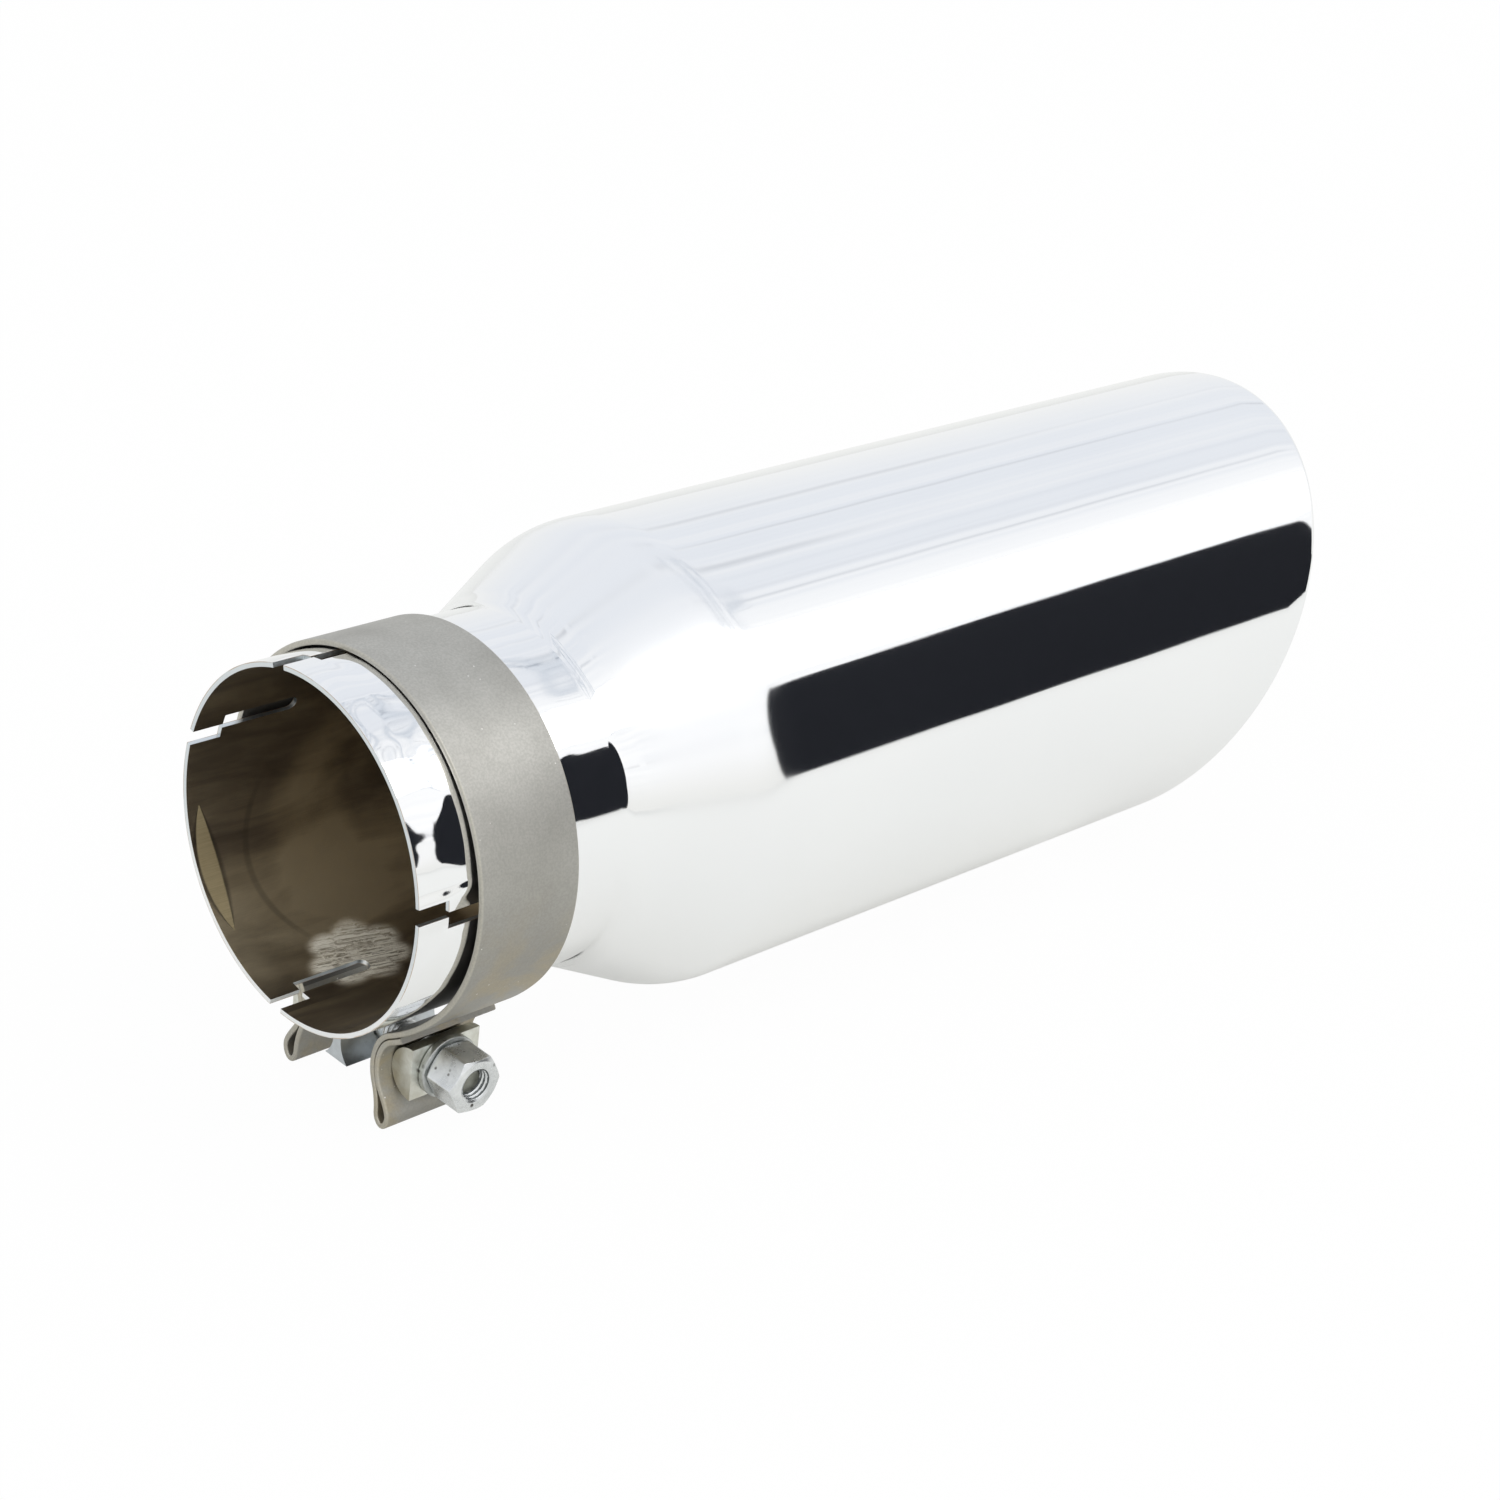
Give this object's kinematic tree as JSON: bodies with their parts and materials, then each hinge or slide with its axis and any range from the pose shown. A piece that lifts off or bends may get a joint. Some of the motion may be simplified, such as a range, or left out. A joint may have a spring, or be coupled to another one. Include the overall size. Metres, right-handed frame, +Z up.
{
  "type": "exhaust tip",
  "caption": "Slip-on exhaust tip: a slotted inlet neck with a bolted band clamp, a flared shoulder and a wide polished body with a slanted, rolled outlet.",
  "frame": {"origin": "centre of the inlet mouth", "axes": "+X along the tube from the inlet to the outlet; +Z up, away from the clamp's ears; the clamp's bolt lies along Y with its nut towards -Y"},
  "size_m": [0.3979, 0.141, 0.1548],
  "materials": {
    "polished_stainless": "mirror polish outside, heat-tinted and dull inside",
    "satin_stainless": "satin, faintly brushed along the strap",
    "yellow_zinc": "dull yellowish zinc plating",
    "blue_zinc": "bluish zinc plating",
    "bright_zinc": "bright zinc plating with small dark specks"
  },
  "bodies": {
    "tip": {"tip_shell": "polished_stainless", "clamp_band": "satin_stainless", "reaction_block": "blue_zinc", "nut_side_spacer": "yellow_zinc", "head_side_spacer": "yellow_zinc", "bolt": "bright_zinc"},
    "washer": {"washer": "bright_zinc"},
    "nut": {"nut": "bright_zinc"}
  },
  "joints": [
    {"name": "nut_travel", "type": "slide", "parent": "tip", "child": "washer", "axis": [0, -1, 0], "range_m": [0, 0.0075]},
    {"name": "nut_turn", "type": "hinge", "parent": "washer", "child": "nut", "pos_m": [0.0355, 0, -0.0654], "axis": [0, -1, 0], "range_deg": [0, 1800]}
  ],
  "couplings": [
    {"joint": "nut_turn", "follows": "nut_travel", "rad_per_m": 4188.7}
  ]
}
